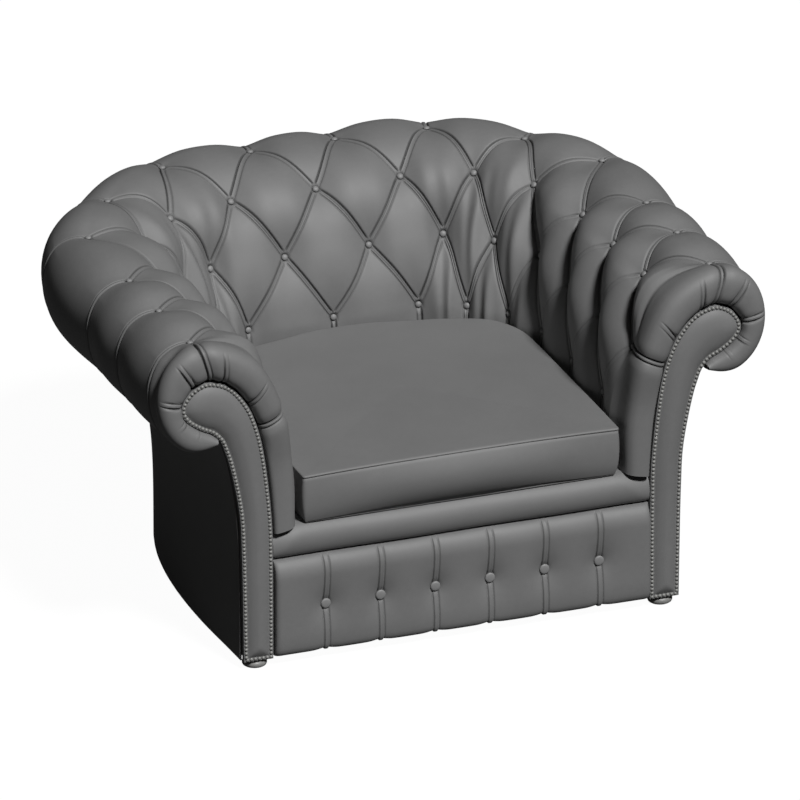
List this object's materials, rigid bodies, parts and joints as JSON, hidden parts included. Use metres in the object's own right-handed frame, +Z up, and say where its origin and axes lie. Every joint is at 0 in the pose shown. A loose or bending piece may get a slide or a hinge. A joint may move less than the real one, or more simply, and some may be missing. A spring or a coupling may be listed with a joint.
{
  "type": "chesterfield armchair",
  "caption": "Low, wide armchair with a deep-buttoned roll running round arms and back, scroll arm fronts, a pleated apron and a loose seat cushion.",
  "frame": {"origin": "on the floor under the middle of the chair", "axes": "+X to the right seen from the front, the seat opens towards -Y, +Z up"},
  "size_m": [1.18, 0.9503, 0.65],
  "materials": {
    "leather": "semi-gloss grey upholstery leather",
    "button_leather": "semi-gloss grey upholstery leather",
    "nail_metal": "domed upholstery nails, dull",
    "foot_wood": "grey stained, satin",
    "frame_timber": "planed hardwood",
    "spring_steel": "drawn wire",
    "webbing": "woven elastic webbing",
    "hessian": "coarse jute",
    "lining": "black lining cloth",
    "foam": "cut foam",
    "zip_tape": "zip with woven tape"
  },
  "bodies": {
    "chair": {"front_seat_rail": "frame_timber", "back_seat_rail": "frame_timber", "back_top_rail": "frame_timber", "back_tack_rail": "frame_timber", "side_seat_rail_right": "frame_timber", "side_seat_rail_left": "frame_timber", "front_stump_right": "frame_timber", "front_stump_left": "frame_timber", "corner_post_right": "frame_timber", "corner_post_left": "frame_timber", "arm_top_rail_right": "frame_timber", "arm_top_rail_left": "frame_timber", "arm_tack_rail_right": "frame_timber", "arm_tack_rail_left": "frame_timber", "arm_slat_right": "frame_timber", "arm_slat_left": "frame_timber", "back_slat_right": "frame_timber", "back_slat_left": "frame_timber", "corner_block_right": "frame_timber", "corner_block_left": "frame_timber", "facing_board_right": "leather", "facing_board_left": "leather", "front_bun_foot_right": "foot_wood", "front_bun_foot_left": "foot_wood", "back_bun_foot_right": "foot_wood", "back_bun_foot_left": "foot_wood", "seat_spring_1": "spring_steel", "seat_spring_2": "spring_steel", "seat_spring_3": "spring_steel", "seat_spring_4": "spring_steel", "back_webbing_1": "webbing", "back_webbing_2": "webbing", "arm_webbing_right": "webbing", "arm_webbing_left": "webbing", "seat_hessian": "hessian", "dust_cover": "lining", "seat_deck": "lining", "lip_roll": "leather", "front_apron": "leather", "apron_button_1": "button_leather", "apron_button_2": "button_leather", "apron_button_3": "button_leather", "apron_button_4": "button_leather", "apron_button_5": "button_leather", "apron_button_6": "button_leather", "inside_back": "leather", "inside_arm_right": "leather", "inside_arm_left": "leather", "arm_front_right": "leather", "arm_front_left": "leather", "facing_panel_right": "leather", "facing_panel_left": "leather", "nail_strip_right": "nail_metal", "nail_strip_left": "nail_metal", "outside_back": "leather", "outside_arm_right": "leather", "outside_arm_left": "leather"},
    "cushion": {"cushion_cover": "leather", "cushion_zip": "zip_tape", "cushion_core": "foam"}
  },
  "joints": [
    {"name": "cushion_lift", "type": "slide", "parent": "chair", "child": "cushion", "axis": [0, 0, 1], "range_m": [0, 0.4]}
  ]
}
